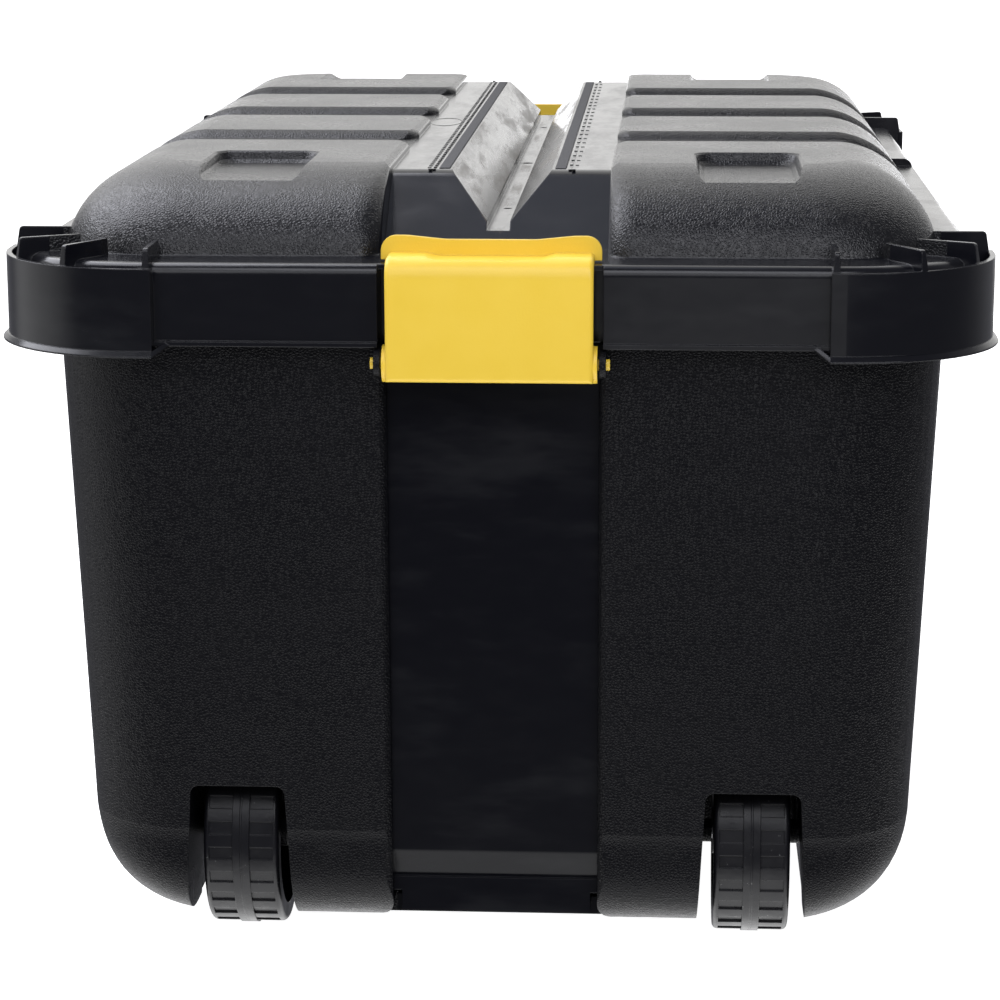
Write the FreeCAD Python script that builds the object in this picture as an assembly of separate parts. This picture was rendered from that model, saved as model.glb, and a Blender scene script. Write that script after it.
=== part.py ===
import FreeCAD, Part
import math
import os

# Wheeled storage box with a lift-off lid, two end latches and two wheels.
# Millimetres. X is the width, Y the length (wheels and one latch at -Y), Z is up.
# The origin is on the ground under the middle of the box.

V = FreeCAD.Vector

# driving sizes of the box
skirt_half_length = 420.0
skirt_half_width = 258.0
skirt_radius = 74.0
tub_height = 368.0
tub_bottom = 15.0
cut_reach = 60.0
pick_tolerance = 0.01

# tub
tub_end_inset = 32.0
tub_side_inset = 30.5
tub_corner_inset = 16.0
tub_bottom_half_length = skirt_half_length - tub_end_inset
tub_bottom_half_width = skirt_half_width - tub_side_inset
tub_bottom_corner = skirt_radius - tub_corner_inset
tub_top = tub_bottom + tub_height
tub_flare = 16.0
tub_wall = 3.5
side_round = 58.0
end_round = 33.0
floor_corner_share = 0.62
round_shares = (0.0, 0.04, 0.16, 0.36, 0.62, 1.0)
rim_thickness = 3.5
rim_reach = 8.0

# recessed panel in the middle of each end
panel_half_width = 56.5
panel_depth = 9.0
panel_round_top = 59.0
panel_round_bottom = 43.0
panel_round_inset = 7.0
panel_round = 4.0
panel_lip_top = 42.0
panel_lip_inset = 5.5
panel_lip_bottom = 22.0
panel_under_depth = 24.0
panel_edge_round = 8.0
panel_edge_lean = 0.9
panel_edge_gap = 0.4
panel_edge_overlap = 3.0
panel_edge_reach = 20.0
panel_edge_rise = 2.5
lobe_foot_round = 15.0
lobe_foot_reach = 4.0

# wheels, wells and axles
wheel_radius = 56.0
wheel_half_width = 21.0
wheel_inset = 86.0
wheel_x = tub_bottom_half_width - wheel_inset
axle_inset = 60.0
axle_y = tub_bottom_half_length - axle_inset
axle_radius = 4.5
axle_half_length = 34.0
axle_fit = 0.02
wheel_fit = 0.08
axle_mouth = 8.0
hub_radius = 13.0
web_outer_radius = 45.0
web_half_width = 8.0
tread_band_half_width = 4.7
tread_band_height = 0.8
tread_count = 24
tread_width = 7.2
tread_depth = 1.2
tread_outer = 17.8
wheel_edge_round = 3.0
well_top = 98.0
well_half_width = 25.8
well_mouth_half_width = 31.0
well_clearance = 8.0
well_corner_round = 5.0
well_cheek = 7.0
boss_radius = 6.8
boss_gap = 0.5
well_relief_top = 33.0
well_relief_depth = 60.0
well_roof = 4.0

# feet under the far end
foot_half_width = 30.0
foot_inset = 70.0
foot_y = tub_bottom_half_length - foot_inset
foot_half_length = 26.0
foot_round = 8.0

# lid skirt and ledge
lid_wall = 3.0
step_depth = 5.0
step_half_length = 120.0
ledge_top = tub_top + lid_wall + step_depth
ledge_round = 6.0
skirt_height = 43.3
skirt_bottom = ledge_top - skirt_height
bead_height = 2.6
bead_reach = 2.5

# lid corner walls and fins
corner_step = 9.0
corner_half_length = skirt_half_length + corner_step
corner_half_width = skirt_half_width + corner_step
corner_radius = skirt_radius + corner_step
corner_drop = 5.0
corner_bottom = skirt_bottom - corner_drop
corner_top_drop = 2.0
corner_top = ledge_top - corner_top_drop
corner_floor_drop = 11.0
corner_floor = ledge_top - corner_floor_drop
corner_run_x = 82.0
corner_start_x = skirt_half_width - corner_run_x
corner_run_y = 87.0
corner_start_y = skirt_half_length - corner_run_y
lip_reach = 3.0
lip_half_length = corner_half_length + lip_reach
lip_half_width = corner_half_width + lip_reach
lip_radius = corner_radius + lip_reach
lip_height = 3.2
lip_slope = 2.4
ramp_run = 8.0
fin_height = 8.5
fin_top = ledge_top + fin_height
fin_base_thickness = 5.4
fin_top_thickness = 2.4
fin_length = 36.0
fin_lean = 2.5
fin_lean_drop = 5.0
fin_round = 2.0
fin_angles = (30.0, 61.0)
fin_side_y = corner_start_y + fin_base_thickness / 2

# lid dome, its pads and the rib grooves in them
dome_end_ledge = 30.0
dome_side_ledge = 20.0
dome_half_length = skirt_half_length - dome_end_ledge
dome_half_width = skirt_half_width - dome_side_ledge
dome_root_drop = 6.5
dome_root = ledge_top - dome_root_drop
dome_height = 42.0
pad_top = ledge_top + dome_height
dome_end_run = 83.0
dome_side_run = 50.0
dome_corner = 62.0
dome_flat_corner = 26.0
dome_inner_corner = 14.0
dome_angles = (0.0, 18.0, 36.0, 54.0, 70.0, 80.0, 86.0)
dome_wall = 4.0
hollow_drop = 0.4
rib_height = 5.0
pad_inner_x = 60.5
rib_pitch_share = 0.41
rib_pitch = rib_pitch_share * dome_half_length
rib_groove_half_width = 29.0
rib_groove_floor = 22.0
rib_groove_round = 6.0
rib_shoulder_round = 22.0
rib_shoulder_run = 14.0
rib_shoulder_rise = 2.2
rib_end_start = 1.0
rib_end_run = 9.0
rib_end_corner = 20.0
rib_end_reach = 45.0
rib_end_overlap = 2.0
rib_end_angles = (0.0, 30.0, 55.0, 75.0)
rib_crown = 0.4

# pockets in the pad ends
pocket_place_share = 0.4225
pocket_x = pad_inner_x + pocket_place_share * (dome_half_width - pad_inner_x)
pocket_half_width = 24.0
pocket_spread = 5.0
pocket_run = 135.0
pocket_wall_y = dome_half_length - pocket_run
pocket_depth = 6.5
pocket_corner = 9.0
pocket_rise_shares = (0.0, 0.3, 0.85, 1.3)
pocket_spread_shares = (0.0, 0.55, 0.9, 1.7)

# centre band and V-groove
band_top = pad_top - rib_height
band_half_width = 62.5
band_foot_inset = 33.0
band_foot_half_length = dome_half_length - band_foot_inset
band_run = 51.0
band_flat_half_length = band_foot_half_length - band_run
band_round = 16.0
groove_half_width = 27.5
groove_depth = 24.0
groove_bottom = band_top - groove_depth
channel_half_width = 6.3
channel_depth = 4.5
channel_bottom = groove_bottom - channel_depth
pit_inset = 145.0
pit_y = dome_half_length - pit_inset
pit_radius = 2.4
pit_depth = 2.0
notch_pit_radius = 3.4
notch_reach = 5.2
notch_half_width = 1.6

# grip strips in the band
strip_inner_x = 29.3
strip_outer_x = 35.1
strip_inset = 7.7
strip_half_length = band_flat_half_length - strip_inset
strip_seat = 1.6
strip_thickness = 2.0
strip_fit = 0.05

# latch bay in the lid and latch
bay_half_width = 58.8
bay_wall = 3.0
bay_depth = 21.0
bay_back_y = skirt_half_length - bay_depth
ledge_front_inset = 4.0
ledge_front_y = skirt_half_length - ledge_front_inset
rim_gap_half_width = 64.0
rim_gap_inset = 25.5
rim_gap_y = skirt_half_length - rim_gap_inset
rim_gap_depth = 36.0
rim_gap_bottom = tub_top - rim_gap_depth
latch_front_y = lip_half_length
latch_half_width = 54.0
latch_rise = 5.0
latch_top = ledge_top + latch_rise
latch_height = 65.0
latch_bottom = latch_top - latch_height
latch_wall = 4.0
latch_top_round = 11.0
latch_rest_gap = 0.4
latch_side_round = 2.5
latch_leg = 28.5
thumb_back_y = latch_front_y - latch_leg
thumb_thickness = 3.2
thumb_half_width = 57.8
thumb_rise = 8.6
thumb_top = latch_top + thumb_rise
thumb_dip = 2.0
thumb_dip_half_width = 24.0
thumb_dip_run = 20.0
thumb_dip_round = 40.0
thumb_corner = 8.0
scoop_half_width = 28.0
scoop_run = 12.0
scoop_depth = 1.6
scoop_round = 16.0
pin_inset = 11.0
pin_y = latch_front_y - pin_inset
pin_rise = 8.5
pin_z = latch_bottom + pin_rise
pin_radius = 3.0
pin_reach = 62.5
pin_fit = 0.08
cheek_radius = 9.8
cheek_inner_x = 45.0
cheek_outer_x = 56.0
ear_inner_x = 57.0
ear_outer_x = 60.5
ear_radius = 7.3
ear_root_inset = 24.0
ear_root_y = skirt_half_length - ear_root_inset


def box(x0, x1, y0, y1, z0, z1):
    return Part.makeBox(x1 - x0, y1 - y0, z1 - z0, V(x0, y0, z0))


def mirror_x(shape):
    return shape.mirror(V(0, 0, 0), V(1, 0, 0))


def mirror_y(shape):
    return shape.mirror(V(0, 0, 0), V(0, 1, 0))


def both_x(shape):
    return [shape, mirror_x(shape)]


def both_y(shape):
    return [shape, mirror_y(shape)]


def all_corners(shape):
    return both_x(shape) + both_x(mirror_y(shape))


def arc(start, middle, end):
    return Part.Arc(start, middle, end).toShape()


def outline(corners):
    """Closed wire through (point, radius) corners, each rounded by its radius."""
    ends = []
    edges = []
    for i, (point, radius) in enumerate(corners):
        to_last = (corners[i - 1][0] - point).normalize()
        to_next = (corners[(i + 1) % len(corners)][0] - point).normalize()
        half = to_last.getAngle(to_next) / 2
        run = radius / math.tan(half)
        start = point + to_last * run
        end = point + to_next * run
        if radius > 0:
            middle = point + (to_last + to_next).normalize() * (radius / math.sin(half) - radius)
            edges.append(arc(start, middle, end))
        ends.append((start, end))
    for i, (start, end) in enumerate(ends):
        last = ends[i - 1][1]
        if last.distanceToPoint(start) > pick_tolerance:
            edges.append(Part.makeLine(last, start))
    return Part.Wire(Part.__sortEdges__(edges))


def profile_along_x(points, x0, x1):
    """Extrude (y, z, radius) corners from x0 to x1."""
    wire = outline([(V(x0, y, z), r) for y, z, r in points])
    return Part.Face(wire).extrude(V(x1 - x0, 0, 0))


def profile_along_y(points, y0, y1):
    """Extrude (x, z, radius) corners from y0 to y1."""
    wire = outline([(V(x, y0, z), r) for x, z, r in points])
    return Part.Face(wire).extrude(V(0, y1 - y0, 0))


def rounded_wire(half_x, half_y, radius, z):
    """Closed rectangle with four equal round corners at height z."""
    signs = ((1, 1), (-1, 1), (-1, -1), (1, -1))
    return outline([(V(sx * half_x, sy * half_y, z), radius) for sx, sy in signs])


def rounded_prism(half_x, half_y, radius, z0, z1):
    face = Part.Face(rounded_wire(half_x, half_y, radius, z0))
    return face.extrude(V(0, 0, z1 - z0))


def edges_where(shape, test):
    """Edges of a shape whose end points all pass a test."""
    return [e for e in shape.Edges if all(test(v.Point) for v in e.Vertexes)]


def close(a, b):
    return abs(a - b) < pick_tolerance


def top_edges(shape, z):
    return edges_where(shape, lambda p: close(p.z, z))


def tub_flare_at(z):
    return tub_flare * (z - tub_bottom) / (tub_top - tub_bottom)


def drop_of(radius, height):
    """How far a rounded edge is inside its wall, at a height above the floor."""
    if height >= radius:
        return 0
    return radius - math.sqrt(radius ** 2 - (radius - height) ** 2)


def tub_section(z, inset):
    height = z - tub_bottom - inset
    half_x = tub_bottom_half_width + tub_flare_at(z) - inset - drop_of(side_round - inset, height)
    half_y = tub_bottom_half_length + tub_flare_at(z) - inset - drop_of(end_round - inset, height)
    lost = drop_of(side_round - inset, height) / side_round
    radius = (tub_bottom_corner + tub_flare_at(z) - inset) * (1 - floor_corner_share * lost)
    return rounded_wire(half_x, half_y, radius, z)


def tub_body(inset):
    """Tub shape with rounded floor edges, inset from the outside."""
    floor = tub_bottom + inset
    reach = side_round - inset
    sections = [tub_section(floor + reach * share, inset) for share in round_shares]
    lower = Part.makeLoft(sections, True, False)
    upper = Part.makeLoft([sections[-1], tub_section(tub_top, inset)], True, True)
    return lower.fuse(upper).removeSplitter()


def panel_cut(inset):
    """Space in front of the recessed end panel, near end, grown by the inset."""
    top_y = tub_bottom_half_length + tub_flare - panel_depth - inset
    round_y = tub_bottom_half_length + tub_flare_at(panel_round_top) - panel_depth - inset
    inner_y = round_y - panel_round_inset
    lip_y = inner_y if inset > 0 else round_y - panel_lip_inset
    under_y = round_y - panel_under_depth
    points = [
        (-lip_half_length, tub_top, 0),
        (-top_y, tub_top, 0),
        (-round_y, panel_round_top + inset, panel_round),
        (-inner_y, panel_round_bottom + inset, 0),
        (-inner_y, panel_lip_top, 0),
        (-lip_y, panel_lip_top - inset, 0),
        (-lip_y, panel_lip_bottom + inset, 0),
        (-under_y, panel_lip_bottom + inset, 0),
        (-under_y, 0, 0),
        (-lip_half_length, 0, 0),
    ]
    x = panel_half_width + inset
    return profile_along_x(points, -x, x)


def cylinder_x(x0, x1, y, z, radius):
    return Part.makeCylinder(radius, x1 - x0, V(x0, y, z), V(1, 0, 0))


def well_cut():
    """Room for the right wheel, open at the end and below."""
    half = well_half_width
    mouth = well_mouth_half_width
    points = [
        (wheel_x - mouth, 0, 0),
        (wheel_x + mouth, 0, 0),
        (wheel_x + half, well_top, well_corner_round),
        (wheel_x - half, well_top, well_corner_round),
    ]
    opening = profile_along_y(points, -lip_half_length, -axle_y)
    radius = wheel_radius + well_clearance
    room = cylinder_x(wheel_x - half, wheel_x + half, -axle_y, wheel_radius, radius)
    back = -axle_y + radius
    below = box(wheel_x - mouth, wheel_x + mouth, -axle_y, back, 0, wheel_radius)
    relief = box(wheel_x - mouth, wheel_x + mouth, -axle_y, back + well_relief_depth, 0, well_relief_top)
    return opening.fuse([room, below, relief]).removeSplitter()


def well_bosses():
    """Two bosses that keep the right wheel in the middle of its well."""
    inner = wheel_half_width + boss_gap
    outer = well_mouth_half_width + well_cheek / 2
    return [
        cylinder_x(wheel_x - outer, wheel_x - inner, -axle_y, wheel_radius, boss_radius),
        cylinder_x(wheel_x + inner, wheel_x + outer, -axle_y, wheel_radius, boss_radius),
    ]


def well_block():
    """Space the right wheel well takes out of the inside of the tub."""
    x0 = wheel_x - well_mouth_half_width - well_cheek
    x1 = wheel_x + well_mouth_half_width + well_cheek
    radius = wheel_radius + well_clearance + well_roof
    room = cylinder_x(x0, x1, -axle_y, wheel_radius, radius)
    front = box(x0, x1, -lip_half_length, -axle_y, 0, well_top + well_roof)
    back = -axle_y + radius
    below = box(x0, x1, -axle_y, back, 0, wheel_radius)
    relief = box(x0, x1, -axle_y, back + well_relief_depth, 0, well_relief_top + well_roof)
    return room.fuse([front, below, relief]).removeSplitter()


def axle_seat():
    radius = axle_radius + axle_fit
    reach = axle_half_length + axle_fit
    hole = cylinder_x(wheel_x - reach, wheel_x + reach, -axle_y, wheel_radius, radius)
    mouth = box(wheel_x - reach, wheel_x + reach, -axle_y - axle_mouth / 2, -axle_y + axle_mouth / 2,
                0, wheel_radius)
    return hole.fuse(mouth)


def latch_ear():
    """Right ear of the near latch, with the hole for its pin."""
    tip = cylinder_x(ear_inner_x, ear_outer_x, -pin_y, pin_z, ear_radius)
    arm = box(ear_inner_x, ear_outer_x, -pin_y, -ear_root_y, pin_z - ear_radius, pin_z + ear_radius)
    hole = cylinder_x(0, lip_half_width, -pin_y, pin_z, pin_radius + pin_fit)
    return tip.fuse(arm).cut(hole)


def lobe_round():
    """Tool that rounds the right edge of the near recessed panel; it leans out with the wall."""
    face = -tub_bottom_half_length
    inner = panel_half_width - panel_edge_overlap
    outer = panel_half_width + panel_edge_reach
    deep = face + panel_depth - panel_edge_gap
    points = [
        (inner, deep, 0),
        (panel_half_width - panel_edge_lean, deep, 0),
        (panel_half_width, face, panel_edge_round),
        (outer, face - panel_edge_rise, 0),
        (outer, face - panel_depth, 0),
        (inner, face - panel_depth, 0),
    ]
    wire = outline([(V(x, y, tub_bottom), rounding) for x, y, rounding in points])
    return Part.Face(wire).extrude(V(0, -tub_flare, tub_height))


def lobe_foot(inset):
    """Tool that rounds the lower inner edge of the right near lobe, grown by the inset."""
    x = panel_half_width + inset
    z = tub_bottom + inset
    reach = lobe_foot_round + lobe_foot_reach
    points = [
        (x - lobe_foot_reach, z + reach, 0),
        (x, z + reach, 0),
        (x, z, lobe_foot_round - inset),
        (x + reach, z, 0),
        (x + reach, z - lobe_foot_reach, 0),
        (x - lobe_foot_reach, z - lobe_foot_reach, 0),
    ]
    under_y = tub_bottom_half_length + tub_flare_at(panel_round_top) - panel_depth - panel_under_depth
    return profile_along_y(points, -lip_half_length, -under_y + inset)


def tub():
    inside = tub_body(tub_wall).cut(both_y(panel_cut(tub_wall)) + both_x(well_block()))
    inside = inside.cut(all_corners(lobe_foot(tub_wall)))
    lift = Part.Face(tub_section(tub_top, tub_wall)).extrude(V(0, 0, cut_reach))
    half_y = tub_bottom_half_length + tub_flare + rim_reach
    half_x = tub_bottom_half_width + tub_flare + rim_reach
    radius = tub_bottom_corner + tub_flare + rim_reach
    rim = rounded_prism(half_x, half_y, radius, tub_top - rim_thickness, tub_top)
    gap = box(-rim_gap_half_width, rim_gap_half_width, -lip_half_length, -rim_gap_y, rim_gap_bottom,
              tub_top + cut_reach)
    body = tub_body(0).cut(both_y(panel_cut(0))).cut(all_corners(lobe_round()))
    body = body.cut(all_corners(lobe_foot(0)))
    body = body.fuse(rim).cut(both_x(well_cut()) + both_y(gap))
    foot = box(wheel_x - foot_half_width, wheel_x + foot_half_width, foot_y - foot_half_length,
               foot_y + foot_half_length, 0, tub_bottom)
    foot = foot.makeFillet(foot_round, [e for e in foot.Edges if e.tangentAt(e.FirstParameter).z != 0])
    bosses = [both_x(boss) for boss in well_bosses()]
    body = body.fuse(all_corners(latch_ear()) + both_x(foot) + sum(bosses, []))
    body = body.cut([inside, lift] + both_x(axle_seat()))
    return body.removeSplitter()


def wheel_section():
    """Half section of the right wheel: hub, web and rim with a raised band round its middle."""
    half = wheel_half_width
    side = wheel_radius - tread_band_height
    bore = axle_radius + wheel_fit
    right = [
        (half, bore, 0),
        (half, hub_radius, 0),
        (web_half_width, hub_radius, 0),
        (web_half_width, web_outer_radius, 0),
        (half, web_outer_radius, 0),
        (half, side, wheel_edge_round),
        (tread_band_half_width, side, 0),
        (tread_band_half_width, wheel_radius, 0),
    ]
    left = [(-x, r, rounding) for x, r, rounding in reversed(right)]
    return outline([(V(wheel_x + x, -axle_y, wheel_radius + r), rounding) for x, r, rounding in right + left])


def wheel():
    centre = V(wheel_x, -axle_y, wheel_radius)
    body = Part.Face(wheel_section()).revolve(centre, V(1, 0, 0), 360)
    floor = 2 * wheel_radius - tread_band_height - tread_depth
    pocket = box(tread_band_half_width, tread_outer, -axle_y - tread_width / 2, -axle_y + tread_width / 2,
                 floor, floor + wheel_radius)
    cuts = []
    for side in both_x(pocket):
        side.translate(V(wheel_x, 0, 0))
        for i in range(tread_count):
            turned = side.copy()
            turned.rotate(centre, V(1, 0, 0), 360 * i / tread_count)
            cuts.append(turned)
    return body.cut(cuts)


def axle():
    return cylinder_x(wheel_x - axle_half_length, wheel_x + axle_half_length, -axle_y, wheel_radius,
                      axle_radius)


def edge_shares(angle):
    """How far out and how far up the rounded edge of the dome is at one angle."""
    turn = math.radians(angle)
    return math.cos(turn), math.sin(turn) / math.sin(math.radians(dome_angles[-1]))


def dome_side_section(angle, inset, top, inner_x):
    """Plan outline of the right half of the dome, at one step of its rounded edge."""
    share, rise = edge_shares(angle)
    y = dome_half_length - inset - dome_end_run * (1 - share)
    x = dome_half_width - inset - dome_side_run * (1 - share)
    z = dome_root + (top - dome_root) * rise
    outer = dome_flat_corner + (dome_corner - dome_flat_corner) * share
    return outline([
        (V(inner_x, -y, z), dome_inner_corner),
        (V(x, -y, z), outer),
        (V(x, y, z), outer),
        (V(inner_x, y, z), dome_inner_corner),
    ])


def dome_side(inset, top, inner_x):
    sections = [dome_side_section(angle, inset, top, inner_x) for angle in dome_angles]
    return Part.makeLoft(sections, True, False)


def rib_groove(y):
    """Rounded valley swept along the right pad, from the centre band over the side of the dome."""
    points = []
    for angle in reversed(dome_angles):
        share, rise = edge_shares(angle)
        x = dome_half_width - dome_side_run * (1 - share)
        points.append(V(x, y, dome_root + (pad_top - dome_root) * rise))
    side = Part.BSplineCurve()
    side.interpolate(Points=points, InitialTangent=V(1, 0, 0), FinalTangent=V(0, 0, -1))
    path = Part.Wire([Part.makeLine(V(0, y, pad_top), points[0]), side.toShape()])
    reach = rib_groove_half_width + rib_shoulder_run
    right = [
        (rib_groove_floor, -rib_height, rib_groove_round),
        (rib_groove_half_width, 0, rib_shoulder_round),
        (reach, rib_shoulder_rise, 0),
        (reach, rib_height, 0),
    ]
    left = [(-across, up, rounding) for across, up, rounding in reversed(right)]
    profile = outline([(V(0, y + across, pad_top + up), rounding) for across, up, rounding in right + left])
    return path.makePipeShell([profile], True, False)


def rib_end(y0, y1):
    """Rounded block that a rib keeps at its inner end, between two grooves."""
    x0 = pad_inner_x - rib_end_start
    x1 = pad_inner_x + rib_end_reach + rib_end_corner
    sections = []
    for angle in rib_end_angles:
        turn = math.radians(angle)
        inset = rib_end_run * (1 - math.cos(turn))
        rise = math.sin(turn) / math.sin(math.radians(rib_end_angles[-1]))
        z = band_top + (rib_height + rib_crown) * rise
        sections.append(outline([
            (V(x0 + inset, y0 + inset, z), rib_end_corner - inset),
            (V(x1, y0 + inset, z), 0),
            (V(x1, y1 - inset, z), 0),
            (V(x0 + inset, y1 - inset, z), rib_end_corner - inset),
        ]))
    return Part.makeLoft(sections, True, False)


def rib_ends_cut():
    """What is taken off the inner ends of the ribs to round them."""
    end = dome_half_length + cut_reach
    slab = box(0, pad_inner_x + rib_end_reach, -dome_half_length, dome_half_length, band_top,
               pad_top + rib_crown)
    side = rib_groove_floor - rib_end_overlap
    places = [-end, -rib_pitch, 0, rib_pitch, end]
    return slab.cut([rib_end(a + side, b - side) for a, b in zip(places, places[1:])])


def pocket_cut(wall):
    """Pocket in the near end of the right pad, grown by a wall; its sides ease out upwards."""
    front = -dome_half_length - cut_reach
    sections = []
    for rise, spread in zip(pocket_rise_shares, pocket_spread_shares):
        half = pocket_half_width + pocket_spread * spread + wall
        back = -pocket_wall_y - pocket_spread * (1 - spread) + wall
        z = pad_top - pocket_depth * (1 - rise) - wall
        sections.append(outline([
            (V(pocket_x - half, front, z), 0),
            (V(pocket_x + half, front, z), 0),
            (V(pocket_x + half, back, z), pocket_corner),
            (V(pocket_x - half, back, z), pocket_corner),
        ]))
    return Part.makeLoft(sections, True, True)


def pad():
    """Right pad of the lid with its rib grooves, rounded rib ends and pockets."""
    body = dome_side(0, pad_top, pad_inner_x)
    for y in (-rib_pitch, 0, rib_pitch):
        body = body.cut(rib_groove(y))
    body = body.cut(rib_ends_cut())
    return body.cut(both_y(pocket_cut(0)))


def rib_hollows():
    """Room inside the four ribs of the right pad."""
    end = dome_half_length + cut_reach
    side = rib_groove_half_width + dome_wall
    places = [-end, -rib_pitch, 0, rib_pitch, end]
    x0 = pad_inner_x + rib_end_corner
    return [box(x0, skirt_half_width, a + side, b - side, skirt_bottom, pad_top)
            for a, b in zip(places, places[1:])]


def pad_inside():
    """Hollow under the right pad, which follows the ribs and clears the pockets."""
    inner_x = pad_inner_x + dome_wall
    whole = dome_side(dome_wall, pad_top - dome_wall, inner_x).cut(both_y(pocket_cut(dome_wall)))
    base = dome_side(rib_height + dome_wall, band_top - dome_wall - hollow_drop, inner_x)
    return base.fuse([whole.common(room) for room in rib_hollows()])


def band():
    bottom = ledge_top - lid_wall
    points = [
        (-band_foot_half_length, bottom, 0),
        (-band_foot_half_length, ledge_top, 0),
        (-band_flat_half_length, band_top, band_round),
        (band_flat_half_length, band_top, band_round),
        (band_foot_half_length, ledge_top, 0),
        (band_foot_half_length, bottom, 0),
    ]
    return profile_along_x(points, -band_half_width, band_half_width)


def groove(wall):
    """V-groove with a flat channel, grown by the wall below and at its sides."""
    low = channel_half_width + wall
    slope = (groove_half_width - channel_half_width) / (band_top - groove_bottom)
    top = groove_half_width + wall * math.sqrt(2) + slope * (pad_top - band_top)
    points = [
        (-top, pad_top, 0),
        (-low, groove_bottom, 0),
        (-low, channel_bottom - wall, 0),
        (low, channel_bottom - wall, 0),
        (low, groove_bottom, 0),
        (top, pad_top, 0),
    ]
    return profile_along_y(points, -lip_half_length, lip_half_length)


def pits():
    low = channel_bottom - pit_depth
    high = groove_bottom
    found = [Part.makeCylinder(pit_radius, high - low, V(0, y, low)) for y in (-pit_y, pit_y)]
    middle = Part.makeCylinder(notch_pit_radius, high - low, V(0, 0, low))
    notch = box(-notch_reach, 0, -notch_half_width, notch_half_width, low, high)
    return found + [middle.fuse(notch)]


def strip(grow):
    """Right grip strip, or its seat when grown by the fit."""
    low = band_top - strip_seat
    return box(strip_inner_x - grow, strip_outer_x + grow, -strip_half_length - grow,
               strip_half_length + grow, low, low + strip_thickness)


def corner_zone(inset):
    """Right near corner of the lid, where the outer wall stands."""
    zone = box(corner_start_x + inset, lip_half_width, -lip_half_length, -corner_start_y - inset, 0,
               pad_top)
    return zone


def fin(x, y, angle):
    """Upright web from the corner wall in towards the dome, thinner and rounded at its top."""
    low = corner_floor - lid_wall
    base = fin_base_thickness / 2
    tip = fin_top_thickness / 2
    section = [(-base, low, 0), (base, low, 0), (tip, fin_top, 0), (-tip, fin_top, 0)]
    side = [
        (0, low, 0),
        (0, corner_top - fin_lean_drop, 0),
        (-fin_lean, fin_top, fin_round),
        (-fin_length, fin_top, 0),
        (-fin_length, low, 0),
    ]
    web = profile_along_y(section, -fin_length, 0).common(profile_along_x(side, -base, base))
    web.rotate(V(0, 0, 0), V(0, 0, 1), angle)
    web.translate(V(x, y, 0))
    return web


def corner_fins():
    """Four fins of the right near corner."""
    cx = corner_half_width - corner_radius
    cy = -corner_half_length + corner_radius
    reach = corner_radius - lid_wall / 2
    fins = [fin(corner_start_x + fin_base_thickness / 2, -corner_half_length + lid_wall / 2, 180)]
    for angle in fin_angles:
        a = math.radians(angle)
        fins.append(fin(cx + reach * math.sin(a), cy - reach * math.cos(a), 180 + angle))
    fins.append(fin(corner_half_width - lid_wall / 2, -fin_side_y, 270))
    return fins


def lip_ramps():
    """Sloping pieces of lip that join the right near corner to the bead beside it."""
    low = corner_bottom
    high = corner_bottom + lip_height
    inward = lip_half_length - skirt_half_length - bead_reach
    depth = lip_half_length - skirt_half_length + lid_wall
    section = [(0, low), (0, high - lip_slope), (lip_slope, high), (depth, high), (depth, low)]
    across = outline([(V(corner_start_x, u - lip_half_length, z), 0) for u, z in section])
    along = outline([(V(lip_half_width - u, -corner_start_y, z), 0) for u, z in section])
    return [
        Part.Face(across).extrude(V(-ramp_run, inward, corner_drop)),
        Part.Face(along).extrude(V(-inward, ramp_run, corner_drop)),
    ]


def corner_wall():
    """Outer wall, floor, lip and fins of the right near corner."""
    outer = rounded_prism(corner_half_width, corner_half_length, corner_radius,
                          corner_bottom + lip_height / 2, corner_top)
    inner = rounded_prism(corner_half_width - lid_wall, corner_half_length - lid_wall,
                          corner_radius - lid_wall, corner_floor, corner_top)
    lip = rounded_prism(lip_half_width, lip_half_length, lip_radius, corner_bottom,
                        corner_bottom + lip_height)
    lip = lip.makeChamfer(lip_slope, top_edges(lip, corner_bottom + lip_height))
    body = outer.cut(inner).fuse(lip).common(corner_zone(0))
    return body.fuse(corner_fins() + lip_ramps())


def lid_inside():
    """Hollow of the lid that takes the rim and the dome space."""
    bottom = corner_bottom - cut_reach
    main = rounded_prism(skirt_half_width - lid_wall, skirt_half_length - lid_wall,
                         skirt_radius - lid_wall, bottom, ledge_top - lid_wall)
    step_x = dome_half_width - rib_height - lid_wall
    low_step = box(step_x, lip_half_width, -step_half_length - lid_wall, step_half_length + lid_wall,
                   ledge_top - lid_wall - step_depth, pad_top)
    main = main.cut(both_x(low_step))
    corner = rounded_prism(corner_half_width - lid_wall, corner_half_length - lid_wall,
                           corner_radius - lid_wall, bottom, corner_floor - lid_wall)
    corner = corner.common(corner_zone(lid_wall))
    bay = box(-bay_half_width - bay_wall, bay_half_width + bay_wall, -lip_half_length,
              -bay_back_y + bay_wall, 0, ledge_top)
    main = main.fuse(all_corners(corner)).cut(both_y(bay))
    half = pad_inner_x + dome_wall + dome_inner_corner
    end = band_flat_half_length - band_round
    middle = box(-half, half, -end, end, bottom, band_top - dome_wall).cut(groove(dome_wall))
    return main.fuse(both_x(pad_inside()) + [middle])


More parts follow.
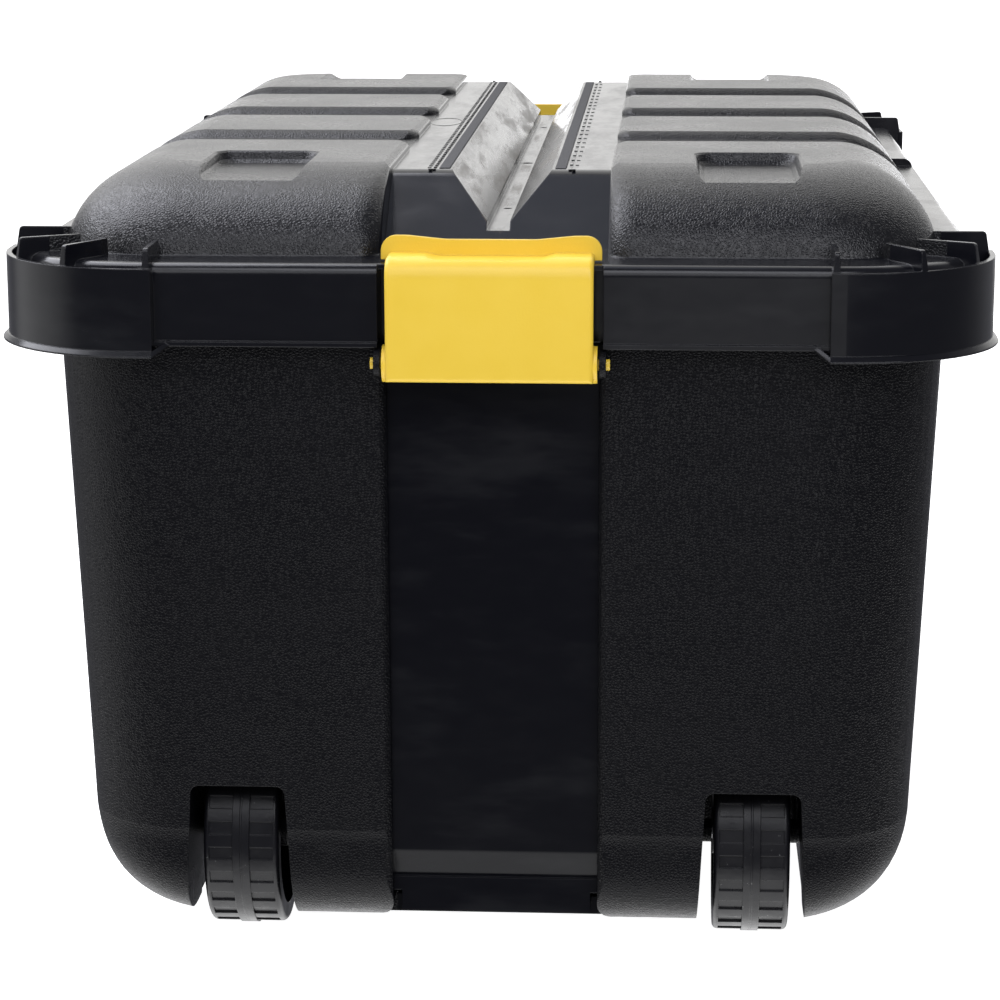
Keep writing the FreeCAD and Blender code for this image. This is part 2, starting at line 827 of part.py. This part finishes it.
def lid():
    skirt = rounded_prism(skirt_half_width, skirt_half_length, skirt_radius,
                          skirt_bottom + bead_height / 2, ledge_top)
    skirt = skirt.makeFillet(ledge_round, top_edges(skirt, ledge_top))
    bead = rounded_prism(skirt_half_width + bead_reach, skirt_half_length + bead_reach,
                         skirt_radius + bead_reach, skirt_bottom, skirt_bottom + bead_height)
    low_step = box(dome_half_width - dome_side_run, lip_half_width, -step_half_length, step_half_length,
                   ledge_top - step_depth, pad_top)
    skirt = skirt.cut(both_x(low_step))
    body = skirt
    for added in ([bead], all_corners(corner_wall()), both_x(pad()), [band()]):
        body = body.fuse(added)
    bay = box(-bay_half_width, bay_half_width, -lip_half_length, -bay_back_y, 0, ledge_top - bay_wall)
    front = box(-bay_half_width, bay_half_width, -lip_half_length, -ledge_front_y, 0, pad_top)
    seats = both_x(strip(strip_fit))
    for taken in ([lid_inside()], [groove(0)], pits(), seats, both_y(bay) + both_y(front)):
        body = body.cut(taken)
    return body.removeSplitter()


def thumb_lip():
    """Wide finger lip of the near latch, lower in the middle."""
    low = latch_top - latch_wall
    dip = thumb_top - thumb_dip
    run = thumb_dip_half_width + thumb_dip_run
    points = [
        (-thumb_half_width, low, 0),
        (-thumb_half_width, thumb_top, thumb_corner),
        (-run, thumb_top, thumb_dip_round),
        (-thumb_dip_half_width, dip, thumb_dip_round),
        (thumb_dip_half_width, dip, thumb_dip_round),
        (run, thumb_top, thumb_dip_round),
        (thumb_half_width, thumb_top, thumb_corner),
        (thumb_half_width, low, 0),
    ]
    return profile_along_y(points, -thumb_back_y - thumb_thickness, -thumb_back_y)


def scoop():
    """Shallow dip for the fingers in the top of the near latch."""
    run = scoop_half_width + scoop_run
    points = [
        (-run, latch_top + scoop_depth, 0),
        (-scoop_half_width, latch_top - scoop_depth, scoop_round),
        (scoop_half_width, latch_top - scoop_depth, scoop_round),
        (run, latch_top + scoop_depth, 0),
    ]
    return profile_along_y(points, -latch_front_y - latch_wall, -thumb_back_y)


def on_latch_edge(point):
    outer = close(point.y, -latch_front_y) or close(point.z, latch_top)
    return close(abs(point.x), latch_half_width) and outer


def on_latch_foot(point):
    return close(point.y, -latch_front_y) and close(point.z, latch_bottom)


def latch():
    """Near latch: front plate, leg over the ledge, thumb lip, cheeks and pins."""
    low = ledge_top + latch_rest_gap
    inner_y = latch_front_y - latch_wall
    points = [
        (-latch_front_y, latch_bottom, 0),
        (-latch_front_y, latch_top, latch_top_round),
        (-thumb_back_y, latch_top, 0),
        (-thumb_back_y, low, 0),
        (-inner_y, low, latch_top_round - latch_wall),
        (-inner_y, latch_bottom, 0),
    ]
    body = profile_along_x(points, -latch_half_width, latch_half_width)
    edges = edges_where(body, on_latch_edge) + edges_where(body, on_latch_foot)
    body = body.makeFillet(latch_side_round, edges)
    body = body.cut(scoop())
    cheek = cylinder_x(cheek_inner_x, cheek_outer_x, -pin_y, pin_z, cheek_radius)
    pin = cylinder_x(cheek_inner_x, pin_reach, -pin_y, pin_z, pin_radius)
    body = body.fuse([thumb_lip()] + both_x(cheek) + both_x(pin))
    return body.removeSplitter()


def save(shape, name):
    solids = shape.Solids
    node = solids[0] if len(solids) == 1 else Part.makeCompound(solids)
    node.exportStep("parts/" + name + ".step")


def main():
    os.makedirs("parts", exist_ok=True)
    save(tub(), "tub")
    save(lid(), "lid")
    near = latch()
    save(near, "latch_near")
    save(mirror_y(near), "latch_far")
    save(wheel(), "wheel_right")
    save(mirror_x(wheel()), "wheel_left")
    save(axle(), "axle_right")
    save(mirror_x(axle()), "axle_left")
    save(strip(0), "grip_strip_right")
    save(mirror_x(strip(0)), "grip_strip_left")


main()
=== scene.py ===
import math

import bmesh
import bpy
from mathutils import Matrix, Vector


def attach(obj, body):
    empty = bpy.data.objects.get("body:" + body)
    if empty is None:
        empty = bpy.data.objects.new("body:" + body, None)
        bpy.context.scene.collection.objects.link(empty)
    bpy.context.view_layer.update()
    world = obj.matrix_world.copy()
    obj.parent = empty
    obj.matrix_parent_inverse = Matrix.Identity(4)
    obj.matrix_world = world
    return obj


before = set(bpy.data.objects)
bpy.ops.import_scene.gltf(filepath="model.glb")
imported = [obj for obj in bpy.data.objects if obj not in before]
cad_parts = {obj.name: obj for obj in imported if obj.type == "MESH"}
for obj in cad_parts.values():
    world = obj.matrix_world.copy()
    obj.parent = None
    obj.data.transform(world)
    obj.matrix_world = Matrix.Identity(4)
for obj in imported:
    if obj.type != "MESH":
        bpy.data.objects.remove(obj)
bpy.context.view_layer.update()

# Metres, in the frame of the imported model: X is the width, Y the length, Z is up.

# camera
image_pixels = 1000
focal_pixels = 3050
sensor_width = 36
camera_place = Vector((0.0933, -1.9847, 0.6099))
camera_yaw = -0.0563
camera_pitch = 0.2155
camera_roll = -0.0015

# stage
floor_half_size = 30
floor_colour = (0.9, 0.9, 0.9, 1)
floor_roughness = 0.8
floor_glow = 1.0
floor_glow_colour = (1, 1, 1, 1)

# light from all round, behind a backdrop that is plain to the eye
backdrop_colour = (1, 1, 1, 1)
ambient = 0.17
ambient_tint = (0.97, 0.98, 1.1)

# glows: direction, full and zero angle in degrees, strength, colour
glows = {
    "back": ((0, 1, 0.5), 24, 44, 1.25, (1, 0.99, 0.96)),
    "left": ((-1, 0.1, 0.15), 15, 45, 0.9, (1, 1, 1)),
    "right_back": ((0.75, 0.65, 0.35), 15, 40, 0.12, (1, 1, 1)),
    "below": ((0, 0, -1), 38, 72, 2.2, (1, 1, 1)),
}

# soft boxes: place, aim, width, height, power in watts, colour
softboxes = {
    "top_left": ((-0.75, 0.1, 1.35), (-0.1, -0.1, 0.4), 1.0, 1.3, 21.0, (0.97, 0.98, 1.06)),
    "front_left": ((-0.7, -1.5, 1.0), (0, -0.42, 0.3), 0.9, 0.6, 4.0, (0.98, 0.99, 1.04)),
    "front": ((0.0, -1.7, 1.1), (0, -0.42, 0.3), 0.6, 0.6, 1.8, (0.98, 0.99, 1.04)),
    "front_high": ((0.0, -1.3, 1.6), (0, -0.42, 0.3), 0.9, 0.6, 6.6, (0.98, 0.99, 1.06)),
    "top": ((0.02, -0.15, 1.45), (0.02, -0.3, 0.4), 0.3, 0.5, 0.4, (0.9, 0.96, 1.12)),
    "front_right": ((0.7, -1.5, 1.0), (0, -0.42, 0.3), 0.9, 0.6, 7.0, (0.98, 0.99, 1.04)),
    "front_low": ((0.16, -1.6, 0.18), (0.16, -0.42, 0.35), 0.3, 0.4, 0.25, (1, 1, 1)),
    "rear": ((0.0, 2.1, 0.22), (0, 0.42, 0.28), 1.2, 0.36, 5.0, (0.98, 0.99, 1.04)),
}

# shared by the materials
mask_blur = 0.0006
edge_round = 0.0009
edge_samples = 4
patch_span = (0.3, 0.7)

# black plastic: where it is grained or stained
pad_inner = 0.0612
pad_outer = 0.2385
pad_length = 0.3905
pad_foot = 0.3915
panel_half_width = 0.0565
stain_foot = 0.3985
groove_wall_slope = 0.883
groove_wall_offset = -0.3496

# black plastic: look
tub_shine = 0.13
lid_shine = 0.35
grain_colour = (0.0042, 0.0043, 0.0056, 1)
gloss_colour = (0.0038, 0.0040, 0.0062, 1)
# lighter streaky patches on the gloss: partly real haze smudges, partly painted sheen standing in for
# soft reflections
smudge_and_sheen_colour = (0.011, 0.0115, 0.0135, 1)
stain_colour = (0.055, 0.043, 0.032, 1)
grain_roughness = (0.26, 0.31)
gloss_roughness = (0.19, 0.27)
stain_roughness = 0.42
grain_cell = 0.0016
crease_share = 0.35
patch_scale = 18.0
speckle_scale = 1100.0
scuff_scale = (40, 12, 90)
scuff_span = (0.4, 0.8)
smudge_and_sheen_scale = (9, 9, 30)
smudge_and_sheen_span = (0.5, 0.75)
streak_scale = (45, 9, 45)
streak_span = (0.46, 0.72)
grain_relief = 0.00016
speckle_relief = 0.00004
wave_relief = 0.0004

# yellow plastic
yellow_colours = ((0.79, 0.535, 0.043, 1), (0.83, 0.575, 0.053, 1))
yellow_patch_scale = 60.0
yellow_roughness = (0.36, 0.44)
yellow_fine_scale = 900.0
yellow_relief = 0.00009

# grip strips
rubber_colours = ((0.02, 0.02, 0.023, 1), (0.035, 0.035, 0.04, 1))
rubber_fine_scale = 1500.0
rubber_roughness = (0.7, 0.85)
rubber_relief = 0.0001

# wheels
wheel_middle = 0.1415
wheel_shine = 0.3
wheel_colour = (0.007, 0.007, 0.009, 1)
wheel_roughness = (0.26, 0.36)
wheel_patch_scale = 60.0
wheel_relief = 0.0005
speck_colour = (0.11, 0.11, 0.11, 1)
speck_scale = 420.0
speck_span = (0.7, 0.76)
seam_span = (0.0003, 0.0008)
seam_height = 0.0003

# axles
steel_colours = ((0.2, 0.2, 0.21, 1), (0.3, 0.3, 0.31, 1))
steel_line_scale = (20, 900, 900)
steel_roughness = (0.25, 0.4)

# moulded rules and oval mark on the centre band of the lid
band_top = 0.428
mark_sink = 0.00005
rule_half_length = 0.3048
rule_counts = {"left": 61, "right": 24}
tooth_inner = 0.0367
tooth_outer = 0.0385
tooth_height = 0.00045
tooth_share = 0.7
stop_inner = 0.0386
stop_outer = 0.0406
stop_half_length = 0.0016
stop_height = 0.0007
number_foot = 0.0418
number_size = 0.0029
number_relief = 0.0003
number_curve_steps = 2
oval_middle = (-0.0514, -0.0218)
oval_half_width = 0.0098
oval_half_length = 0.0255
oval_line = 0.0005
oval_height = 0.0002
oval_points = 96


def node(tree, kind, inputs=None, **settings):
    """New shader node; an input is a constant, or an output to link."""
    made = tree.nodes.new("ShaderNode" + kind)
    for name, value in settings.items():
        setattr(made, name, value)
    for socket, value in (inputs or {}).items():
        if isinstance(value, bpy.types.NodeSocket):
            tree.links.new(value, made.inputs[socket])
        else:
            made.inputs[socket].default_value = value
    return made


def maths(tree, operation, first, second=0.0):
    return node(tree, "Math", {0: first, 1: second}, operation=operation).outputs[0]


def step(tree, value, low, high, start=0.0, end=1.0):
    """Smooth step of a value, from start at low to end at high."""
    sockets = {"Value": value, "From Min": low, "From Max": high, "To Min": start, "To Max": end}
    return node(tree, "MapRange", sockets, interpolation_type="SMOOTHSTEP").outputs["Result"]


def above(tree, value, limit):
    return step(tree, value, limit - mask_blur, limit + mask_blur)


def below(tree, value, limit):
    return step(tree, value, limit - mask_blur, limit + mask_blur, 1.0, 0.0)


def both(tree, *masks):
    found = masks[0]
    for mask in masks[1:]:
        found = maths(tree, "MULTIPLY", found, mask)
    return found


def is_number(value):
    return isinstance(value, (int, float)) or getattr(value, "type", "") == "VALUE"


def mix(tree, share, first, second):
    """Colour or number between two others."""
    if is_number(first) and is_number(second):
        return node(tree, "Mix", {0: share, 2: first, 3: second}, data_type="FLOAT").outputs[0]
    return node(tree, "Mix", {0: share, 6: first, 7: second}, data_type="RGBA").outputs[2]


def noise(tree, place, scale, detail=2.0, rough=0.5):
    sockets = {"Vector": place, "Scale": scale, "Detail": detail, "Roughness": rough}
    return node(tree, "TexNoise", sockets).outputs["Fac"]


def stretched(tree, place, scale):
    return node(tree, "Mapping", {"Vector": place, "Scale": scale}).outputs["Vector"]


def pebbles(tree, place, cell):
    """Leather grain: rounded cells with creases between them, from 0 to 1."""
    sockets = {"Vector": place, "Scale": 1 / cell}
    edge = node(tree, "TexVoronoi", sockets, feature="DISTANCE_TO_EDGE").outputs["Distance"]
    return step(tree, edge, 0.0, crease_share)


def new_material(name):
    material = bpy.data.materials.new(name)
    material.use_nodes = True
    tree = material.node_tree
    place = node(tree, "TexCoord").outputs["Object"]
    return material, tree, tree.nodes["Principled BSDF"], place


def axes(tree, place):
    """The place along each axis, with X and Y as distances from the middle."""
    parts = node(tree, "SeparateXYZ", {"Vector": place}).outputs
    return maths(tree, "ABSOLUTE", parts["X"]), maths(tree, "ABSOLUTE", parts["Y"]), parts["Z"]


def use_height(tree, shader, height):
    """Bump from a height in metres, on edges that look rounded over."""
    edge = node(tree, "Bevel", {"Radius": edge_round}, samples=edge_samples).outputs["Normal"]
    bump = node(tree, "Bump", {"Height": height, "Distance": 1.0, "Strength": 1.0, "Normal": edge})
    tree.links.new(bump.outputs["Normal"], shader.inputs["Normal"])


def link(tree, output, shader, socket):
    tree.links.new(output, shader.inputs[socket])


def black_plastic(name, shine, grained_mask, stained_mask=None):
    """Black moulded plastic: leather grain in one mask, stains in the other, smooth gloss elsewhere."""
    material, tree, shader, place = new_material(name)
    x, y, z = axes(tree, place)
    grained = grained_mask(tree, x, y, z)
    patchy = noise(tree, place, patch_scale, detail=3.0)
    speckle = noise(tree, place, speckle_scale, detail=1.0)
    rough_grain = step(tree, patchy, *patch_span, *grain_roughness)
    scuff = noise(tree, stretched(tree, place, scuff_scale), 1.0, detail=4.0, rough=0.6)
    rough_gloss = step(tree, scuff, *scuff_span, *gloss_roughness)
    # Lighter streaky patches on the gloss: partly real haze smudges, partly painted sheen standing in
    # for soft reflections.
    smudge_and_sheen = noise(tree, stretched(tree, place, smudge_and_sheen_scale), 1.0, detail=4.0, rough=0.6)
    gloss = mix(tree, step(tree, smudge_and_sheen, *smudge_and_sheen_span), gloss_colour, smudge_and_sheen_colour)
    colour = mix(tree, grained, gloss, grain_colour)
    if stained_mask:
        streaks = noise(tree, stretched(tree, place, streak_scale), 1.0, detail=5.0, rough=0.65)
        stained = both(tree, stained_mask(tree, x, z), step(tree, streaks, *streak_span))
        colour = mix(tree, stained, colour, stain_colour)
        rough_gloss = mix(tree, stained, rough_gloss, stain_roughness)
    link(tree, colour, shader, "Base Color")
    link(tree, mix(tree, grained, rough_gloss, rough_grain), shader, "Roughness")
    shader.inputs["Specular IOR Level"].default_value = shine
    cells = maths(tree, "MULTIPLY", pebbles(tree, place, grain_cell), grain_relief)
    relief = maths(tree, "ADD", cells, maths(tree, "MULTIPLY", speckle, speckle_relief))
    smooth = maths(tree, "MULTIPLY", patchy, wave_relief)
    use_height(tree, shader, mix(tree, grained, smooth, relief))
    return material


def groove_stains(tree, x, z):
    """The walls of the V-groove."""
    wall_offset = maths(tree, "SUBTRACT", x, maths(tree, "MULTIPLY", z, groove_wall_slope))
    return both(tree, below(tree, wall_offset, groove_wall_offset), above(tree, z, stain_foot))


def lid_grain(tree, x, y, z):
    """The two pads."""
    return both(tree, above(tree, x, pad_inner), below(tree, x, pad_outer), below(tree, y, pad_length),
                above(tree, z, pad_foot))


def tub_grain(tree, x, y, z):
    """All but the panels in the middle of the ends."""
    return above(tree, x, panel_half_width)


def yellow_plastic():
    material, tree, shader, place = new_material("yellow_plastic")
    patchy = noise(tree, place, yellow_patch_scale, detail=3.0)
    fine = noise(tree, place, yellow_fine_scale, detail=3.0, rough=0.6)
    link(tree, mix(tree, patchy, *yellow_colours), shader, "Base Color")
    link(tree, step(tree, patchy, *patch_span, *yellow_roughness), shader, "Roughness")
    use_height(tree, shader, maths(tree, "MULTIPLY", fine, yellow_relief))
    return material


def grip_rubber():
    material, tree, shader, place = new_material("grip_rubber")
    fine = noise(tree, place, rubber_fine_scale, detail=3.0)
    link(tree, mix(tree, fine, *rubber_colours), shader, "Base Color")
    link(tree, step(tree, fine, *patch_span, *rubber_roughness), shader, "Roughness")
    use_height(tree, shader, maths(tree, "MULTIPLY", fine, rubber_relief))
    return material


def wheel_plastic():
    """Half-gloss black with dust specks and a moulding line round the middle of the tread."""
    material, tree, shader, place = new_material("wheel_plastic")
    x = axes(tree, place)[0]
    specks = step(tree, noise(tree, place, speck_scale, detail=2.0, rough=0.7), *speck_span)
    patchy = noise(tree, place, wheel_patch_scale, detail=3.0)
    link(tree, mix(tree, specks, wheel_colour, speck_colour), shader, "Base Color")
    link(tree, step(tree, patchy, *patch_span, *wheel_roughness), shader, "Roughness")
    shader.inputs["Specular IOR Level"].default_value = wheel_shine
    off_middle = maths(tree, "ABSOLUTE", maths(tree, "SUBTRACT", x, wheel_middle))
    seam = step(tree, off_middle, *seam_span, seam_height, 0.0)
    use_height(tree, shader, maths(tree, "ADD", seam, maths(tree, "MULTIPLY", patchy, wheel_relief)))
    return material


def axle_steel():
    material, tree, shader, place = new_material("axle_steel")
    lines = noise(tree, stretched(tree, place, steel_line_scale), 1.0, detail=3.0)
    link(tree, mix(tree, lines, *steel_colours), shader, "Base Color")
    link(tree, step(tree, lines, *patch_span, *steel_roughness), shader, "Roughness")
    shader.inputs["Metallic"].default_value = 1.0
    return material


def add_camera():
    data = bpy.data.cameras.new("camera")
    data.sensor_width = sensor_width
    data.lens = sensor_width * focal_pixels / image_pixels
    data.clip_end = 2 * floor_half_size
    ahead = Vector((math.sin(camera_yaw) * math.cos(camera_pitch),
                    math.cos(camera_yaw) * math.cos(camera_pitch), -math.sin(camera_pitch)))
    side = Vector((math.cos(camera_yaw), -math.sin(camera_yaw), 0))
    above_ahead = side.cross(ahead)
    right = side * math.cos(camera_roll) + above_ahead * math.sin(camera_roll)
    up = above_ahead * math.cos(camera_roll) - side * math.sin(camera_roll)
    turn = Matrix((right, up, -ahead)).transposed().to_4x4()
    camera = bpy.data.objects.new("camera", data)
    camera.matrix_world = Matrix.Translation(camera_place) @ turn
    bpy.context.scene.collection.objects.link(camera)
    bpy.context.scene.camera = camera


def add_floor():
    mesh = bpy.data.meshes.new("floor")
    size = floor_half_size
    corners = [(-size, -size, 0), (size, -size, 0), (size, size, 0), (-size, size, 0)]
    mesh.from_pydata(corners, [], [(0, 1, 2, 3)])
    floor = bpy.data.objects.new("floor", mesh)
    bpy.context.scene.collection.objects.link(floor)
    material = bpy.data.materials.new("floor_paper")
    material.use_nodes = True
    shader = material.node_tree.nodes["Principled BSDF"]
    shader.inputs["Base Color"].default_value = floor_colour
    shader.inputs["Roughness"].default_value = floor_roughness
    shader.inputs["Emission Color"].default_value = floor_glow_colour
    shader.inputs["Emission Strength"].default_value = floor_glow
    mesh.materials.append(material)
    floor.visible_glossy = False
    floor.visible_diffuse = False


def add_softboxes():
    for name, (place, aim, width, height, power, colour) in softboxes.items():
        data = bpy.data.lights.new(name, "AREA")
        data.shape = "RECTANGLE"
        data.size = width
        data.size_y = height
        data.energy = power
        data.color = colour
        lamp = bpy.data.objects.new(name, data)
        lamp.location = place
        lamp.rotation_euler = (Vector(aim) - Vector(place)).to_track_quat("-Z", "Y").to_euler()
        lamp.visible_camera = False
        bpy.context.scene.collection.objects.link(lamp)


def add_world():
    world = bpy.data.worlds.new("studio")
    bpy.context.scene.world = world
    world.use_nodes = True
    tree = world.node_tree
    way = node(tree, "TexCoord").outputs["Generated"]
    base = {i: ambient * tint for i, tint in enumerate(ambient_tint)}
    total = node(tree, "CombineColor", base).outputs[0]
    for direction, full, zero, strength, colour in glows.values():
        axis = Vector(direction).normalized()
        towards = node(tree, "VectorMath", {0: way, 1: axis}, operation="DOT_PRODUCT").outputs["Value"]
        span = math.cos(math.radians(zero)), math.cos(math.radians(full))
        share = step(tree, towards, *span, 0.0, strength)
        lit = node(tree, "VectorMath", {0: colour, "Scale": share}, operation="SCALE").outputs["Vector"]
        total = node(tree, "VectorMath", {0: total, 1: lit}, operation="ADD").outputs["Vector"]
    seen = node(tree, "LightPath").outputs["Is Camera Ray"]
    background = tree.nodes["Background"]
    tree.links.new(mix(tree, seen, total, backdrop_colour), background.inputs["Color"])
    background.inputs["Strength"].default_value = 1.0


def wedge(shape, side, y0, y1, inner, outer, near_height, far_height):
    """Block on the band between two lengths, with its own height at each end."""
    low = band_top - mark_sink
    corners = []
    for y, height in ((y0, near_height), (y1, far_height)):
        high = band_top + height
        for x, z in ((inner, low), (outer, low), (outer, high), (inner, high)):
            corners.append(shape.verts.new((side * x, y, z)))
    for ring in ((0, 1, 2, 3), (7, 6, 5, 4), (0, 4, 5, 1), (1, 5, 6, 2), (2, 6, 7, 3), (3, 7, 4, 0)):
        shape.faces.new([corners[i] for i in ring])


def numeral(shape, text, side, y):
    """Raised number that reads from the nearer long side."""
    curve = bpy.data.curves.new("numeral", "FONT")
    curve.body = text
    curve.size = number_size
    curve.align_x = "CENTER"
    curve.extrude = number_relief
    curve.resolution_u = number_curve_steps
    holder = bpy.data.objects.new("numeral", curve)
    mesh = bpy.data.meshes.new_from_object(holder)
    turn = Matrix(((0, -side, 0), (side, 0, 0), (0, 0, 1))).to_4x4()
    mesh.transform(Matrix.Translation((side * number_foot, y, band_top)) @ turn)
    shape.from_mesh(mesh)
    bpy.data.objects.remove(holder)
    bpy.data.curves.remove(curve)
    bpy.data.meshes.remove(mesh)


def lid_mark(name, shape, material):
    bmesh.ops.recalc_face_normals(shape, faces=shape.faces)
    mesh = bpy.data.meshes.new(name)
    shape.to_mesh(mesh)
    shape.free()
    mesh.materials.append(material)
    piece = bpy.data.objects.new(name, mesh)
    bpy.context.scene.collection.objects.link(piece)
    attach(piece, "lid_body")


def add_rules(material):
    """Saw-tooth scale and numbers beside each grip strip."""
    for name, side in (("left", -1), ("right", 1)):
        count = rule_counts[name]
        pitch = 2 * rule_half_length / count
        scale = bmesh.new()
        numbers = bmesh.new()
        for i in range(count):
            y = i * pitch - rule_half_length
            wedge(scale, side, y, y + tooth_share * pitch, tooth_inner, tooth_outer, tooth_height, 0)
            if i > 0:
                numeral(numbers, str(i), side, side * y)
        for y in (-rule_half_length, rule_half_length):
            ends = y - stop_half_length, y + stop_half_length
            wedge(scale, side, *ends, stop_inner, stop_outer, stop_height, stop_height)
        lid_mark("rule_scale_" + name, scale, material)
        lid_mark("rule_numbers_" + name, numbers, material)


def add_oval(material):
    """Faint raised oval line left of the V-groove."""
    shape = bmesh.new()
    rings = []
    for i in range(oval_points):
        turn = 2 * math.pi * i / oval_points
        ring = []
        for out, z in ((-oval_line, -mark_sink), (0, oval_height), (oval_line, -mark_sink)):
            x = oval_middle[0] + (oval_half_width + out) * math.cos(turn)
            y = oval_middle[1] + (oval_half_length + out) * math.sin(turn)
            ring.append(shape.verts.new((x, y, band_top + z)))
        rings.append(ring)
    for ring, following in zip(rings, rings[1:] + rings[:1]):
        for a in range(3):
            b = (a + 1) % 3
            shape.faces.new((ring[a], ring[b], following[b], following[a]))
    lid_mark("oval_mark", shape, material)


def paint():
    wheel = wheel_plastic()
    steel = axle_steel()
    yellow = yellow_plastic()
    rubber = grip_rubber()
    materials = {
        "tub": black_plastic("tub_plastic", tub_shine, tub_grain),
        "lid": black_plastic("lid_plastic", lid_shine, lid_grain, groove_stains),
        "latch_near": yellow,
        "latch_far": yellow,
        "grip_strip_left": rubber,
        "grip_strip_right": rubber,
        "wheel_left": wheel,
        "wheel_right": wheel,
        "axle_left": steel,
        "axle_right": steel,
    }
    for name, material in materials.items():
        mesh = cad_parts[name].data
        mesh.materials.clear()
        mesh.materials.append(material)
    return materials


bpy.context.scene.view_settings.view_transform = "Standard"
materials = paint()
add_rules(materials["lid"])
add_oval(materials["lid"])
add_camera()
add_floor()
add_softboxes()
add_world()
